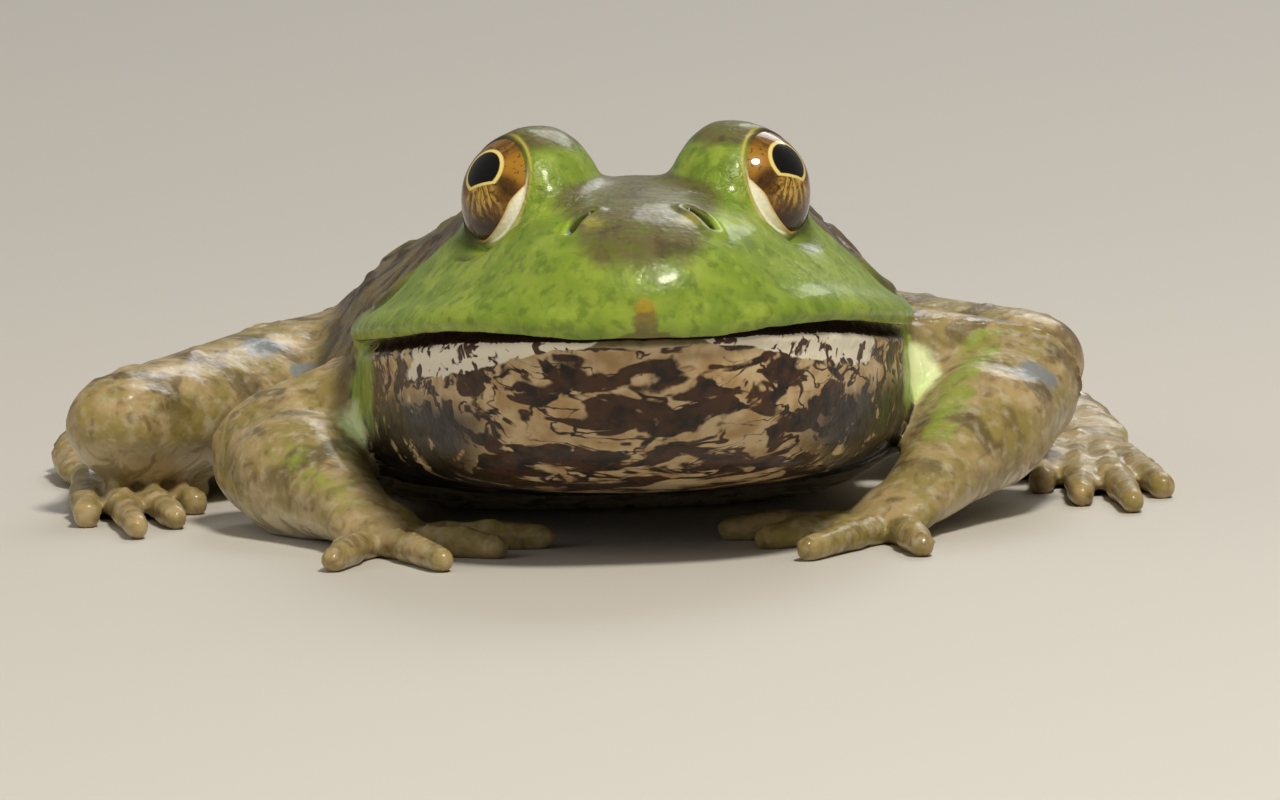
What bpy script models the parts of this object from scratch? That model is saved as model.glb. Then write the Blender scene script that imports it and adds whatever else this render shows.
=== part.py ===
"""American bullfrog at life size, crouched on a flat floor with its head up and its mouth shut.

The body is one run of cross-sections from the snout to the vent, parted at the neck and along the
mouth. Each limb is a chain of swept segments, and every piece is cut back from the one it meets, so
that all of them touch face to face across a thin gap. Nothing moves: it is a still museum model.

Sizes are in millimetres and become metres as each mesh is made. "Depth" is the distance behind the
tip of the snout. The frog faces -Y with its left side towards +X, and its belly rests round the origin.
"""

import math

import bmesh
import bpy
from mathutils import Vector

MM = 0.001
GAP = 0.3
SNOUT_Y = -80.0
FIRST_RING_DEPTH = 0.12
NECK_DEPTH = 50.0
VENT_DEPTH = 138.0

# Head seen from above: a rounded wedge as long as the jaw.
JAW_HALF_WIDTH = 29.0
JAW_ROUNDNESS = 2.2
LOWER_JAW_SET_BACK = 2.0
LOWER_JAW_SCALE = 0.95
LIP_ROLL = 1.1

# Heights and half widths along the body, as {depth: size}.
MOUTH_HEIGHT = {0: 25.4, 0.4: 24.6, 1: 24.1, 2: 24.1, 5: 24.6, 12: 24.3, 26: 22.2, 40: 20.4, 50: 19.4}
CROWN_HEIGHT = {
    0: 27.1, 0.4: 28.4, 1: 29.5, 2.5: 31.5, 5: 33.6, 9: 35.4, 15: 36.5, 22: 37.1, 31: 37.2,
    41: 36.2, 50: 34.0, 62: 31.2, 74: 29.5, 85: 29.4, 94: 30.0, 102: 28.6, 111: 24.8,
    121: 19.0, 130: 14.2, 136: 11.4, 138: 9.6,
}
CHIN_HEIGHT = {2.1: 21.4, 2.7: 19.2, 3.8: 16.6, 6: 13.0, 10: 9.8, 16: 7.4, 25: 6.0, 38: 5.2, 50: 3.0}
BELLY_HEIGHT = {50: 3.0, 57: 0.6, 63: -0.6, 118: -0.6, 125: 1.0, 132: 4.2, 138: 7.6}
TRUNK_HALF_WIDTH = {
    50: 29.0, 57: 26.9, 68: 27.6, 79: 28.2, 91: 26.4,
    104: 21.6, 116: 16.4, 126: 11.4, 134: 6.4, 138: 1.6,
}
TRUNK_WAIST_HEIGHT = {50: 19.4, 58: 16.4, 70: 13.2, 85: 11.8, 105: 11.2, 125: 10.0, 138: 8.6}
CANTHUS_HALF_WIDTH = {
    0: 0.4, 1: 3.4, 3: 5.4, 6: 6.9, 10: 8.3, 16: 10.2, 22: 12.2, 30: 14.4, 38: 15.8, 46: 16.6,
    56: 16.6, 70: 17.2, 80: 17.6, 92: 16.2, 104: 13.0, 116: 9.6, 128: 5.8, 138: 0.9,
}
CANTHUS_DROP = {
    0: 0.1, 3: 0.9, 9: 1.7, 20: 2.0, 30: 2.2, 40: 2.9, 50: 3.8,
    62: 4.6, 94: 5.2, 112: 4.4, 130: 2.2, 138: 0.3,
}
CHEEK_BULGE = {
    0: 0.1, 5: 0.6, 12: 0.1, 20: 0.0, 30: 0.2, 40: 0.4, 50: 0.9,
    62: 1.0, 80: 1.3, 104: 2.0, 128: 1.2, 138: 0.2,
}
# The backbone bends to the frog's right, so that the head looks a little to the left of the way it lies.
BACKBONE_BEND = {0: 0, 40: 0, 60: -1.5, 80: -4.2, 100: -7.4, 120: -10.6, 138: -13.0}

# Eyes and ears, on both sides of the head.
EYE_CENTRE = (10.8, 28.0, 35.6)
EYE_RADIUS = 6.9
EYE_TURN = 52
EYE_LIFT = 5
EYE_OPENING_DISTANCE = 7.5
EYE_OPENING_RADIUS = 6.3
LID_CENTRE = (9.9, 28.6, 35.5)
LID_HALF_SIZES = (6.5, 9.3, 7.7)
NOSTRIL_CENTRE = (5.9, 8.6, 35.0)
NOSTRIL_HALF_SIZES = (0.8, 1.3, 1.0)
EARDRUM_DEPTH = 42.5
EARDRUM_RADIUS = 6.0
EARDRUM_THICKNESS = 1.4
EARDRUM_RECESS_CUT = 3.8

# Limb joints as (distance from the midline, depth, height). Shoulders and hips follow the backbone.
# The frog leans on its right side, so that knee is lower and further out than the left one.
JOINTS = {
    "left": {
        "shoulder": (17, 60, 14.5), "elbow": (39.6, 54, 12.0), "wrist": (28.5, 32, 4.3),
        "hip": (8, 114, 11.6), "knee": (41.5, 69, 12.9), "heel": (25, 132, 4.2), "sole": (47.5, 105, 2.4),
    },
    "right": {
        "shoulder": (17, 60, 12.5), "elbow": (37.5, 55.5, 6.9), "wrist": (29.5, 33.5, 3.9),
        "hip": (8, 114, 9.6), "knee": (53, 69, 9.1), "heel": (34, 134, 4.2), "sole": (56, 107, 2.4),
    },
}

# Girths as (share of the segment's length, half width, half height).
UPPER_ARM_GIRTH = ((0, 8.2, 7.8), (0.5, 8.0, 7.5), (1, 7.0, 6.8))
FOREARM_GIRTH = ((0, 5.6, 5.4), (0.35, 7.2, 6.6), (0.7, 5.3, 4.7), (1, 4.1, 3.5))
THIGH_GIRTH = ((0, 8.6, 7.4), (0.4, 10.6, 7.8), (0.8, 8.2, 6.2), (1, 6.3, 5.6))
SHANK_GIRTH = ((0, 4.9, 4.0), (0.3, 7.2, 5.1), (0.7, 5.4, 4.6), (1, 4.4, 4.4))
ANKLE_GIRTH = ((0, 3.4, 3.2), (0.5, 3.7, 3.3), (1, 4.3, 2.8))
SHANK_DROP = 0.7
SHANK_BOW = 1.5

PALM_LENGTH = 6.0
KNUCKLE_SPACING = 1.5
PALM_GIRTH = ((0, 3.3, 2.6), (0.5, 5.0, 2.7), (1, 4.6, 2.2))
FINGER_LENGTHS = (14.0, 13.0, 18.0, 14.0)
FINGER_ANGLES = {"left": (96, 63, 29, -7), "right": (84, 52, 19, -16)}
FINGER_GIRTH = ((0, 1.6, 1.6), (0.33, 1.4, 1.4), (0.66, 1.5, 1.5), (1, 1.3, 1.3))

SOLE_LENGTH = 13.0
TOE_SPACING = 1.0
TOE_START = 8.0
SOLE_GIRTH = ((0, 3.4, 2.2), (0.5, 5.4, 2.3), (1, 5.6, 1.8))
TOE_LENGTHS = (22.0, 34.0, 46.0, 53.0, 41.0)
TOE_ANGLES = {"left": (13.5, 7.0, 2.0, -2.5, -7.0), "right": (20.5, 14.0, 9.0, 4.5, 0.0)}
TOE_GIRTH = ((0, 1.6, 1.6), (0.33, 1.4, 1.4), (0.66, 1.5, 1.5), (1, 1.15, 1.25))
DIGIT_HEIGHT = 1.2
WEB_REACH = 0.80
WEB_DIP = 0.84
WEB_HEIGHTS = (0.3, 1.1)

# How finely the meshes are divided.
HEAD_RINGS = 14
JAW_RINGS = 11
TRUNK_RINGS = 13
OUTLINE_STEPS = 3
TUBE_SIDES = 12
DIGIT_SIDES = 6
BALL_SIZE = (16, 9)
CLEARANCE = 1.2 * GAP
EMPTY_SIZE = 20
FLOOR_BLOCK_SIZES = (400, 400, 20)
SHARP_ANGLE = math.radians(50)

# Looks as (colour, roughness).
FACE = ((0.20, 0.34, 0.06, 1), 0.32)
THROAT = ((0.52, 0.44, 0.32, 1), 0.38)
BACK = ((0.17, 0.13, 0.06, 1), 0.40)
LEG = ((0.24, 0.18, 0.10, 1), 0.38)
EYE = ((0.45, 0.24, 0.03, 1), 0.08)
EARDRUM = ((0.20, 0.13, 0.05, 1), 0.40)


def clear_scene():
    for obj in list(bpy.data.objects):
        bpy.data.objects.remove(obj)


def new_collection(name):
    collection = bpy.data.collections.new(name)
    bpy.context.scene.collection.children.link(collection)
    return collection


def make_material(name, look):
    colour, roughness = look
    material = bpy.data.materials.new(name)
    material.use_nodes = True
    shader = material.node_tree.nodes["Principled BSDF"]
    shader.inputs["Base Color"].default_value = colour
    shader.inputs["Roughness"].default_value = roughness
    shader.inputs["Metallic"].default_value = 0.0
    return material


def along(knots, depth):
    """The smooth curve through {depth: value}, which never overshoots its knots."""
    xs = sorted(knots)
    depth = min(max(depth, xs[0]), xs[-1])
    i = max(k for k in range(len(xs) - 1) if xs[k] <= depth)

    def slope(k):
        if k == 0 or k == len(xs) - 1:
            return 0.0 if k else chord(0)
        before, after = chord(k - 1), chord(k)
        return 0.0 if before * after <= 0 else 2 * before * after / (before + after)

    def chord(k):
        return (knots[xs[k + 1]] - knots[xs[k]]) / (xs[k + 1] - xs[k])

    step = xs[i + 1] - xs[i]
    t = (depth - xs[i]) / step
    start, end = knots[xs[i]], knots[xs[i + 1]]
    return (
        start * (1 + 2 * t) * (1 - t) ** 2
        + step * slope(i) * t * (1 - t) ** 2
        + end * t * t * (3 - 2 * t)
        + step * slope(i + 1) * t * t * (t - 1)
    )


def catmull(before, start, end, after, t):
    return 0.5 * (
        2 * start
        + (end - before) * t
        + (2 * before - 5 * start + 4 * end - after) * t * t
        + (3 * start - before - 3 * end + after) * t**3
    )


def smooth_line(points, steps, before, after):
    """Points along a smooth curve from the first to the last control point."""
    run = [before, *points, after]
    line = []
    for i in range(1, len(points)):
        line += [catmull(*run[i - 1 : i + 3], k / steps) for k in range(steps)]
    return [*line, points[-1]]


def mouth_height(depth):
    return along(MOUTH_HEIGHT, depth)


def jaw_half_width(depth):
    return JAW_HALF_WIDTH * math.sqrt(max(0.0, 1 - (1 - depth / NECK_DEPTH) ** JAW_ROUNDNESS))


def half_width(depth):
    return jaw_half_width(depth) if depth < NECK_DEPTH else along(TRUNK_HALF_WIDTH, depth)


def upper_outline(depth, base_height):
    """The back or head at one depth as (x, z), from the left side over the crown to the right."""
    width, crown = half_width(depth), along(CROWN_HEIGHT, depth)
    side = Vector((width, base_height))
    canthus = Vector((min(along(CANTHUS_HALF_WIDTH, depth), 0.8 * width), crown - along(CANTHUS_DROP, depth)))
    slope = canthus - side
    outward = Vector((slope.y, -slope.x)).normalized()
    cheek = side.lerp(canthus, 0.5) + outward * along(CHEEK_BULGE, depth)
    top = Vector((0, crown))
    below = Vector((width, base_height - 3))
    beyond = Vector((-canthus.x, canthus.y))
    half = smooth_line([side, cheek, canthus, top], OUTLINE_STEPS, below, beyond)
    return half + [Vector((-p.x, p.y)) for p in reversed(half[:-1])]


def lower_outline(width, top_height, bottom_height):
    """The throat or belly at one depth as (x, z), from the right side under the keel to the left."""
    deep = top_height - bottom_height
    side = Vector((width, top_height))
    wall = Vector((width * 1.01, top_height - 0.5 * deep))
    edge = Vector((width * 0.84, bottom_height + 0.12 * deep))
    keel = Vector((0, bottom_height))
    above = Vector((width, top_height + 3))
    beyond = Vector((-edge.x, edge.y))
    half = smooth_line([side, wall, edge, keel], OUTLINE_STEPS, above, beyond)
    return [Vector((-p.x, p.y)) for p in half[:-1]] + half[::-1]


def ring_at(depth, outline):
    bend = along(BACKBONE_BEND, depth)
    return [Vector((p.x + bend, depth + SNOUT_Y, p.y)) for p in outline]


def with_flat_base(outline, roll):
    """Closes an outline across the mouth, with its two lip edges rolled in."""
    first, last = outline[0], outline[-1]
    rise = roll if outline[len(outline) // 2].y > first.y else -roll
    outline = [Vector((p.x, p.y)) for p in outline]
    outline[0].y += rise
    outline[-1].y += rise
    return [Vector((first.x - math.copysign(roll, first.x), first.y)), *outline,
            Vector((last.x - math.copysign(roll, last.x), last.y))]


def head_rings():
    count, start = HEAD_RINGS, FIRST_RING_DEPTH
    for i in range(count + 1):
        depth = start + (NECK_DEPTH - start) * (1 - math.cos(math.pi / 2 * i / count))
        base = mouth_height(depth)
        roll = min(LIP_ROLL, 0.25 * half_width(depth), 0.3 * (along(CROWN_HEIGHT, depth) - base))
        yield ring_at(depth, with_flat_base(upper_outline(depth, base), roll))


def lower_jaw_rings():
    count, start = JAW_RINGS, LOWER_JAW_SET_BACK + FIRST_RING_DEPTH
    for i in range(count + 1):
        depth = start + (NECK_DEPTH - start) * (1 - math.cos(math.pi / 2 * i / count))
        width = LOWER_JAW_SCALE * jaw_half_width(depth - LOWER_JAW_SET_BACK)
        top, bottom = mouth_height(depth) - GAP, along(CHIN_HEIGHT, depth)
        roll = min(LIP_ROLL, 0.3 * width, 0.3 * (top - bottom))
        yield ring_at(depth, with_flat_base(lower_outline(width, top, bottom), roll))


def trunk_rings():
    count, start = TRUNK_RINGS, NECK_DEPTH + GAP
    for i in range(count + 1):
        depth = start + (VENT_DEPTH - start) * math.sin(math.pi / 2 * i / count)
        base = along(TRUNK_WAIST_HEIGHT, depth)
        upper = upper_outline(depth, base)
        lower = lower_outline(half_width(depth), base, along(BELLY_HEIGHT, depth))
        yield ring_at(depth, upper + lower[1:-1])


def mesh_object(name, bm, collection, look=None):
    """A part when it has a look, or a hidden helper when it has none."""
    bmesh.ops.recalc_face_normals(bm, faces=bm.faces)
    mesh = bpy.data.meshes.new(name)
    bm.to_mesh(mesh)
    bm.free()
    mesh.shade_smooth()
    obj = bpy.data.objects.new(name, mesh)
    collection.objects.link(obj)
    if look:
        mesh.materials.append(make_material(name, look))
    else:
        obj.hide_render = True
        obj.display_type = "WIRE"
    return obj


def loft(name, rings, collection, look=None):
    """A closed solid through rings of equally many points."""
    bm = bmesh.new()
    rows = [[bm.verts.new(point * MM) for point in ring] for ring in rings]
    count = len(rows[0])
    for near, far in zip(rows, rows[1:]):
        for i in range(count):
            j = (i + 1) % count
            bm.faces.new((near[i], near[j], far[j], far[i]))
    bm.faces.new(rows[0])
    bm.faces.new(rows[-1])
    return mesh_object(name, bm, collection, look)


def girth_at(girths, share):
    widths = {g[0]: g[1] for g in girths}
    heights = {g[0]: g[2] for g in girths}
    return along(widths, share), along(heights, share)


def tube_rings(start, end, girths, bow=0.0, sides=TUBE_SIDES, steps=6, cap_steps=3, twist=0.0):
    """Rings of a limb segment from start to end, with rounded ends that run past both joints."""
    axis = end - start
    forward = axis.normalized()
    across = forward.cross(Vector((0, 0, 1))).normalized()
    up = across.cross(forward)
    stations = [(0.0, -math.pi / 2 * k / (cap_steps + 0.25)) for k in range(cap_steps, 0, -1)]
    stations += [(k / steps, 0.0) for k in range(steps + 1)]
    stations += [(1.0, math.pi / 2 * k / (cap_steps + 0.25)) for k in range(1, cap_steps + 1)]
    rings = []
    for share, turn in stations:
        width, height = girth_at(girths, share)
        middle = start + axis * share + forward * (0.9 * width * math.sin(turn))
        middle = middle + up * (bow * math.sin(math.pi * share))
        shrink = math.cos(turn)
        ring = []
        for i in range(sides):
            angle = 2 * math.pi * i / sides + twist
            sideways = across * (width * shrink * math.cos(angle))
            ring.append(middle + sideways + up * (height * shrink * math.sin(angle)))
        rings.append(ring)
    return rings


def joint(side, name):
    x, depth, height = JOINTS[side][name]
    bend = along(BACKBONE_BEND, depth) if name in ("shoulder", "hip") else 0.0
    return Vector(((x if side == "left" else -x) + bend, depth + SNOUT_Y, height))


def ellipsoid(name, centre, half_sizes, collection, look=None, size=BALL_SIZE):
    bm = bmesh.new()
    bmesh.ops.create_uvsphere(bm, u_segments=size[0], v_segments=size[1], radius=MM)
    bmesh.ops.scale(bm, vec=half_sizes, verts=bm.verts)
    obj = mesh_object(name, bm, collection, look)
    obj.location = Vector(centre) * MM
    return obj


def disc(name, place, facing, radius, thickness, collection, look=None):
    """A round plate with a bevelled rim that looks along facing."""
    bm = bmesh.new()
    bmesh.ops.create_cone(bm, cap_ends=True, segments=18, radius1=radius * MM, radius2=0.86 * radius * MM,
                          depth=thickness * MM)
    obj = mesh_object(name, bm, collection, look)
    obj.location = place * MM
    obj.rotation_euler = facing.to_track_quat("Z", "Y").to_euler()
    return obj


def islands(bm):
    """The vertices of each separate body of the mesh."""
    left = set(bm.verts)
    while left:
        found, border = set(), [left.pop()]
        while border:
            vert = border.pop()
            found.add(vert)
            border += [near for edge in vert.link_edges if (near := edge.other_vert(vert)) in left]
            left.difference_update(border)
        yield found


def boolean(obj, operation, other, solver="EXACT"):
    modifier = obj.modifiers.new(f"{operation.lower()}_{other.name}", "BOOLEAN")
    modifier.operation = operation
    modifier.solver = solver
    modifier.object = other


def settle(obj):
    """Applies the Booleans on obj and keeps its largest body, without the crumbs of a grazing cut."""
    graph = bpy.context.evaluated_depsgraph_get()
    result = bpy.data.meshes.new_from_object(obj.evaluated_get(graph))
    obj.modifiers.clear()
    bm = bmesh.new()
    bm.from_mesh(result)
    bpy.data.meshes.remove(result)
    crumbs = sorted(islands(bm), key=len)[:-1]
    bmesh.ops.delete(bm, geom=[vert for crumb in crumbs for vert in crumb], context="VERTS")
    bm.to_mesh(obj.data)
    bm.free()
    obj.data.set_sharp_from_angle(angle=SHARP_ANGLE)


def grown_copy(obj, helpers):
    """A helper that stands proud of obj by the gap, for cutting a neighbour back."""
    bm = bmesh.new()
    bm.from_mesh(obj.data)
    bmesh.ops.recalc_face_normals(bm, faces=bm.faces)
    bm.normal_update()
    moves = [vert.normal * (CLEARANCE * MM) for vert in bm.verts]
    for vert, move in zip(bm.verts, moves):
        vert.co += move
    return mesh_object(obj.name + "_clearance", bm, helpers)


def on_side(side, centre):
    x, depth, height = centre
    return (x if side == "left" else -x, depth + SNOUT_Y, height)


def add_eye(side, head, parts, helpers):
    centre = on_side(side, EYE_CENTRE)
    turn, lift = math.radians(EYE_TURN if side == "left" else -EYE_TURN), math.radians(EYE_LIFT)
    facing = Vector((math.sin(turn) * math.cos(lift), -math.cos(turn) * math.cos(lift), math.sin(lift)))
    opening_centre = Vector(centre) + facing * EYE_OPENING_DISTANCE
    lid = ellipsoid(f"lid_{side}", on_side(side, LID_CENTRE), LID_HALF_SIZES, helpers)
    socket = ellipsoid(f"socket_{side}", centre, (EYE_RADIUS + GAP,) * 3, helpers)
    opening = ellipsoid(f"opening_{side}", opening_centre, (EYE_OPENING_RADIUS,) * 3, helpers)
    boolean(head, "UNION", lid)
    boolean(head, "DIFFERENCE", socket)
    boolean(head, "DIFFERENCE", opening)
    ellipsoid(f"eye_{side}", centre, (EYE_RADIUS,) * 3, parts, EYE)


def add_nostril(side, head, helpers):
    place = on_side(side, NOSTRIL_CENTRE)
    boolean(head, "DIFFERENCE", ellipsoid(f"nostril_{side}", place, NOSTRIL_HALF_SIZES, helpers, size=(8, 6)))


def ear_place(side):
    """The middle of the cheek at the ear's depth, and the way it faces."""
    outline = upper_outline(EARDRUM_DEPTH, mouth_height(EARDRUM_DEPTH))
    cheek, neighbour = outline[OUTLINE_STEPS], outline[OUTLINE_STEPS - 1]
    behind = upper_outline(EARDRUM_DEPTH + 2, mouth_height(EARDRUM_DEPTH + 2))[OUTLINE_STEPS]
    place = Vector((cheek.x, EARDRUM_DEPTH + SNOUT_Y, cheek.y))
    down = Vector((neighbour.x - cheek.x, 0, neighbour.y - cheek.y))
    back = Vector((behind.x - cheek.x, 2, behind.y - cheek.y))
    facing = back.cross(down).normalized()
    facing = facing if facing.x > 0 else -facing
    if side == "right":
        place.x, facing.x = -place.x, -facing.x
    return place, facing


def add_eardrum(side, head, parts, helpers):
    place, facing = ear_place(side)
    inner_face = place - facing * EARDRUM_THICKNESS
    recess_middle = inner_face + facing * (0.5 * EARDRUM_RECESS_CUT)
    recess = disc(f"recess_{side}", recess_middle, facing, EARDRUM_RADIUS + GAP, EARDRUM_RECESS_CUT, helpers)
    boolean(head, "DIFFERENCE", recess)
    middle = inner_face + facing * (GAP + 0.5 * EARDRUM_THICKNESS)
    disc(f"eardrum_{side}", middle, facing, 0.96 * EARDRUM_RADIUS, EARDRUM_THICKNESS, parts, EARDRUM)


def segment(name, start, end, girths, parts, **shape):
    return loft(name, tube_rings(start, end, girths, **shape), parts, LEG)


def heading(side, angle):
    """The way along the floor that is turned from straight ahead towards the midline by angle degrees."""
    turn = math.radians(angle) * (1 if side == "right" else -1)
    return Vector((math.sin(turn), -math.cos(turn), 0))


def digit_roots(root, side, angles, spacing):
    """Where the fingers or toes start, in a row across the palm or the sole."""
    middle = heading(side, sum(angles) / len(angles))
    outwards = middle.cross(Vector((0, 0, 1))) * (-1 if side == "left" else 1)
    return [root + outwards * (spacing * (i - 0.5 * (len(angles) - 1))) for i in range(len(angles))]


def digits(limb, root, side, angles, lengths, girths, spacing, helpers):
    """Fingers or toes that lie along the floor, side by side from the first to the last."""
    for i, first in enumerate(digit_roots(root, side, angles, spacing)):
        angle, length = angles[i], lengths[i]
        first.z = DIGIT_HEIGHT
        rings = tube_rings(first, first + heading(side, angle) * length, girths, bow=0.2, sides=DIGIT_SIDES,
                           steps=3, cap_steps=2, twist=0.2 * (i + 1))
        boolean(limb, "UNION", loft(f"digit_{i + 1}_{limb.name}", rings, helpers), "MANIFOLD")


def add_arm(side, parts, helpers):
    shoulder, elbow, wrist = (joint(side, name) for name in ("shoulder", "elbow", "wrist"))
    upper = segment(f"upper_arm_{side}", shoulder, elbow, UPPER_ARM_GIRTH, parts, steps=3)
    fore = segment(f"forearm_{side}", elbow, wrist, FOREARM_GIRTH, parts, steps=5)
    angles = FINGER_ANGLES[side]
    palm_end = wrist + heading(side, sum(angles) / len(angles)) * PALM_LENGTH
    palm_end.z = PALM_GIRTH[-1][2] - 0.4
    hand = segment(f"hand_{side}", wrist, palm_end, PALM_GIRTH, parts, steps=3, sides=12)
    digits(hand, palm_end, side, angles, FINGER_LENGTHS, FINGER_GIRTH, KNUCKLE_SPACING, helpers)
    return upper, fore, hand


def web(side, root, helpers):
    """The foot's web: a thin fan that dips between the toes."""
    ways = [heading(side, angle) for angle in TOE_ANGLES[side]]
    starts = digit_roots(root, side, TOE_ANGLES[side], TOE_SPACING)
    tips = [start + way * (length * WEB_REACH) for start, way, length in zip(starts, ways, TOE_LENGTHS)]
    outline = [root - ways[2] * 3, tips[0]]
    for tip, following in zip(tips, tips[1:]):
        for share in (0.3, 0.5, 0.7, 1.0):
            dip = 1 - (1 - WEB_DIP) * math.sin(math.pi * share)
            outline.append(root + (tip.lerp(following, share) - root) * dip)
    bm = bmesh.new()
    layers = [[bm.verts.new(Vector((p.x, p.y, height)) * MM) for p in outline] for height in WEB_HEIGHTS]
    for layer in layers:
        bm.faces.new(layer)
    for i in range(len(outline)):
        bm.faces.new((layers[0][i - 1], layers[0][i], layers[1][i], layers[1][i - 1]))
    bmesh.ops.triangulate(bm, faces=[face for face in bm.faces if len(face.verts) > 4])
    return mesh_object(f"web_{side}", bm, helpers)


def add_leg(side, parts, helpers):
    hip, knee, heel, sole = (joint(side, name) for name in ("hip", "knee", "heel", "sole"))
    thigh = segment(f"thigh_{side}", hip, knee, THIGH_GIRTH, parts)
    below_knee = knee - Vector((0, 0, SHANK_DROP))
    shank = segment(f"shank_{side}", below_knee, heel, SHANK_GIRTH, parts, bow=SHANK_BOW)
    ankle = segment(f"ankle_{side}", heel, sole, ANKLE_GIRTH, parts, steps=4)
    angles = TOE_ANGLES[side]
    way = heading(side, sum(angles) / len(angles))
    sole_end = sole + way * SOLE_LENGTH
    sole_end.z = SOLE_GIRTH[-1][2] - 0.4
    foot = segment(f"foot_{side}", sole, sole_end, SOLE_GIRTH, parts, steps=3, sides=12)
    root = sole + way * TOE_START
    digits(foot, root, side, angles, TOE_LENGTHS, TOE_GIRTH, TOE_SPACING, helpers)
    boolean(foot, "UNION", web(side, root, helpers), "MANIFOLD")
    return thigh, shank, ankle, foot


def floor_block(helpers):
    """Everything under the floor, which cuts the flats that the frog rests on."""
    bm = bmesh.new()
    bmesh.ops.create_cube(bm, size=MM)
    bmesh.ops.scale(bm, vec=FLOOR_BLOCK_SIZES, verts=bm.verts)
    block = mesh_object("floor_block", bm, helpers)
    block.location.z = -0.5 * FLOOR_BLOCK_SIZES[2] * MM
    return block


def build():
    clear_scene()
    parts = new_collection("bullfrog")
    helpers = new_collection("helpers")
    head = loft("head", list(head_rings()), parts, FACE)
    jaw = loft("lower_jaw", list(lower_jaw_rings()), parts, THROAT)
    trunk = loft("trunk", list(trunk_rings()), parts, BACK)
    body_clearances = [grown_copy(piece, helpers) for piece in (trunk, head, jaw)]
    floor = floor_block(helpers)
    boolean(trunk, "DIFFERENCE", floor)
    for side in ("left", "right"):
        add_eye(side, head, parts, helpers)
        add_nostril(side, head, helpers)
        add_eardrum(side, head, parts, helpers)
        chain = (*add_arm(side, parts, helpers), *add_leg(side, parts, helpers))
        clearances = [grown_copy(piece, helpers) for piece in chain]
        for i, piece in enumerate(chain):
            for clearance in (*body_clearances, *clearances[:i]):
                boolean(piece, "DIFFERENCE", clearance, "MANIFOLD")
            boolean(piece, "DIFFERENCE", floor, "MANIFOLD")
            settle(piece)
    for piece in (head, trunk):
        settle(piece)
    rest = bpy.data.objects.new("bullfrog_rest", None)
    rest.empty_display_size = EMPTY_SIZE * MM
    parts.objects.link(rest)
    for piece in parts.objects:
        if piece != rest:
            piece.parent = rest


build()
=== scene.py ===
import math

import bmesh
import bpy
import numpy as np
from mathutils import Matrix, Vector, noise
from mathutils.bvhtree import BVHTree


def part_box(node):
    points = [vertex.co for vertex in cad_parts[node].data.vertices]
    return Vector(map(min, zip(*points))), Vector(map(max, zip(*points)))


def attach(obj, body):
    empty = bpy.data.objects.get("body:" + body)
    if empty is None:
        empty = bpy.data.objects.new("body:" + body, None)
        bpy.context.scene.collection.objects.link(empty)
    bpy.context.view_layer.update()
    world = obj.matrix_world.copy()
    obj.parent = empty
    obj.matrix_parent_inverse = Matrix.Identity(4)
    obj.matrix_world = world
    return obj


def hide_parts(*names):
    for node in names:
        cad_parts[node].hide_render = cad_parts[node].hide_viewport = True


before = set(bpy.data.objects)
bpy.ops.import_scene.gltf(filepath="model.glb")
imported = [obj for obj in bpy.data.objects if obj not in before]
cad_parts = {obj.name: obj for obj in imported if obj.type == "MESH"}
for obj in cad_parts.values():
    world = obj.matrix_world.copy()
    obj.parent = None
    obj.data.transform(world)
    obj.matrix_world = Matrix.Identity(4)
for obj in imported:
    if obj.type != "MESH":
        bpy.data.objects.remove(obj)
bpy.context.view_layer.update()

# A still bullfrog. One skin is grown over all the flesh solids of the frame and then modelled like
# clay: lids, lips, nostrils, folds, knuckles. Inside this file lengths are in millimetres, in the
# frame's axes: the frog faces -Y, its left side is towards +X, and the floor is at z = 0.
MM = 0.001
SIDES = {"left": 1.0, "right": -1.0}


# ---------------------------------------- the skin's grain
VOXEL = 0.5
SWELL = 0.26
# How far the clay is smoothed on each kind of part, as the spread of the blur.
SMOOTHING = {
    "trunk": 3.0, "head": 1.5, "lower_jaw": 1.6, "eardrum": 1.0, "upper_arm": 1.9, "forearm": 1.5,
    "hand": 0.45, "thigh": 2.2, "shank": 1.6, "ankle": 1.0, "foot": 0.4, "eye": 0.5,
}
LONGEST_BLUR = 3.0
# Zones of the skin, with the area in square millimetres of their average triangle.
ZONE_GRAIN = {"sockets": 1.0, "body": 0.34, "underside": 0.4, "nape": 0.25, "face": 0.24, "feet": 0.21}
UNDERSIDE_HEIGHT = 6.5
NAPE_DEPTH = 40.0
FINE_SPACING = 0.36
MOST_TRIANGLES = 197000

# ---------------------------------------- eyes and lids
# Each opening is a circle on the eyeball: which way its middle faces, and its half angle.
LID_TURN, LID_LIFT, LID_ANGLE = 57, 18, 49.5
FOLD_TURN, FOLD_LIFT, FOLD_ANGLE = 73, 20, 54.0
LID_THICKNESS, LID_THIN = 0.7, 0.2
# How far from the eye's centre the lids are shaped, coloured and evened out.
LID_ZONE, LID_COLOUR_ZONE, LID_RING_ZONE = 11.0, 10.0, 12.0
# The skin's grain is halved twice round lids and nostrils, the second time in a narrower strip.
FINE_REACHES = (2.2, 0.9)
# How deep the skin lies under the ball's surface inside the opening.
EYE_RECESS = 0.45
PUPIL_TURN, PUPIL_LIFT = 52, 31
# The pupil is an oval with its lower side cut flat, square to this slope.
PUPIL_HALF_WIDTH, PUPIL_HALF_HEIGHT = 2.2, 2.05
PUPIL_FLAT, PUPIL_FLAT_SLOPE = 1.55, (0.3115, 0.95)
CORNEA_RISE, CORNEA_CAP = 0.3, 0.32

# ---------------------------------------- mouth, nose, ears and back
# Places are distances from the midline, behind the snout and above the floor.
MOUTH_REACH = 53.0
MOUTH_CORNER_DEPTH = 46.5
LIP_RAISE = 1.5
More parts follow.
